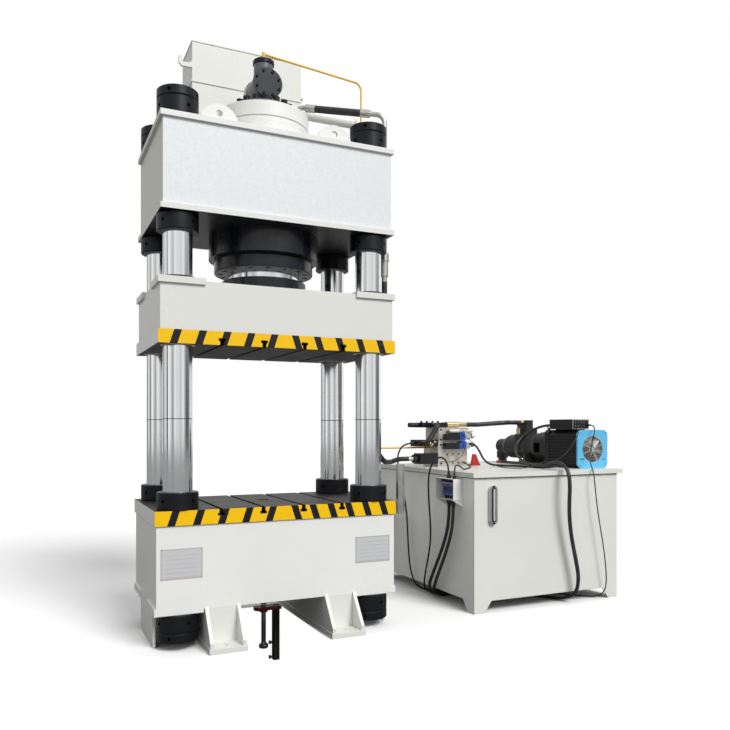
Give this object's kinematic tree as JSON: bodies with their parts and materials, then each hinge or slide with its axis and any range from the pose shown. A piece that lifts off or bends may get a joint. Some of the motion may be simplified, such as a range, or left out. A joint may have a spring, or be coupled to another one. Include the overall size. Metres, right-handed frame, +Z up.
{
  "type": "four-column hydraulic press",
  "caption": "Upright hydraulic press with a sliding beam guided on columns, an ejector in its bed, a filling tank above and a separate motor-pump oil tank.",
  "frame": {"origin": "on the press axis, in the plane of the undersides of the feet, at the centre of the anchor bolt pattern", "axes": "+Z up along the press axis, -Y towards the operator's front, +X towards the power unit"},
  "size_m": [4.058, 1.877, 4.899],
  "materials": {
    "white_paint": "semi-gloss",
    "grey_paint": "semi-gloss",
    "blue_paint": "semi-gloss",
    "red_paint": "satin",
    "black_paint": "satin",
    "stripes": "semi-gloss",
    "bright_steel": "machined",
    "dark_steel": "blackened",
    "ram_chrome": "polished",
    "iron": "cast",
    "bronze": "turned",
    "rubber": "matt",
    "yellow_pipe": "semi-gloss",
    "white_pipe": "semi-gloss",
    "blue_plastic": "moulded",
    "grey_plastic": "moulded",
    "black_plastic": "moulded"
  },
  "bodies": {
    "frame": {"bed_frame": "white_paint", "bed_table": "stripes", "bed_feet": "white_paint", "columns": "ram_chrome", "crown_frame": "white_paint", "outer_nuts": "dark_steel", "lock_nuts": "dark_steel", "inner_nuts": "dark_steel", "cylinder_barrel": "black_paint", "ring_flange": "white_paint", "cylinder_head": "white_paint", "cylinder_bolts": "dark_steel", "gland_ring": "black_paint", "prefill_body": "grey_paint", "prefill_covers": "dark_steel", "filling_tank": "white_paint", "ejector_cylinder": "dark_steel", "guard_rail": "bright_steel", "pilot_pipe": "yellow_pipe", "overflow_pipe": "white_pipe", "pressure_pipe": "bright_steel", "press_hoses": "rubber", "tank_body": "white_paint", "tank_lid": "white_paint", "level_gauge": "bright_steel", "motor_housing": "black_paint", "fan_cover": "blue_paint", "terminal_box": "blue_paint", "bell_housing": "iron", "pump": "iron", "pump_rails": "red_paint", "manifold_block": "bright_steel", "cartridge_block": "bright_steel", "valve_stack": "black_paint", "solenoids": "blue_plastic", "unit_hoses": "rubber", "junction_box": "white_paint", "rear_cable": "black_plastic", "loop_cable": "black_plastic", "sleeve_cable_front": "black_plastic", "sleeve_cable_rear": "black_plastic", "motor_cable": "black_plastic", "fan_cable": "black_plastic", "cable_boot": "black_plastic", "trunk_cable": "black_plastic", "trunk_coil": "black_plastic", "trunk_plug": "grey_plastic"},
    "slide": {"slide_frame": "white_paint", "slide_table": "stripes", "guide_bushes": "bronze", "wiper_rings": "rubber", "ram": "ram_chrome", "ram_flange": "black_paint", "ram_bolts": "dark_steel"},
    "ejector": {"ejector_rod": "bright_steel", "ejector_plate": "red_paint", "dog_bar": "dark_steel"},
    "rotor": {"motor_fan": "bright_steel", "drive_coupling": "iron"},
    "prefill_valve": {"prefill_poppet": "bright_steel"}
  },
  "joints": [
    {"name": "slide_travel", "type": "slide", "parent": "frame", "child": "slide", "axis": [0, 0, 1], "range_m": [-0.7, 0.04]},
    {"name": "ejector_travel", "type": "slide", "parent": "frame", "child": "ejector", "axis": [0, 0, 1], "range_m": [0, 0.2]},
    {"name": "motor_spin", "type": "hinge", "parent": "frame", "child": "rotor", "pos_m": [2.953, 0, 1.312], "axis": [0, 1, 0], "continuous": true},
    {"name": "prefill_travel", "type": "slide", "parent": "frame", "child": "prefill_valve", "axis": [0, 0, 1], "range_m": [-0.035, 0], "stiffness_N_per_m": 3000, "springref_m": 0.03}
  ]
}
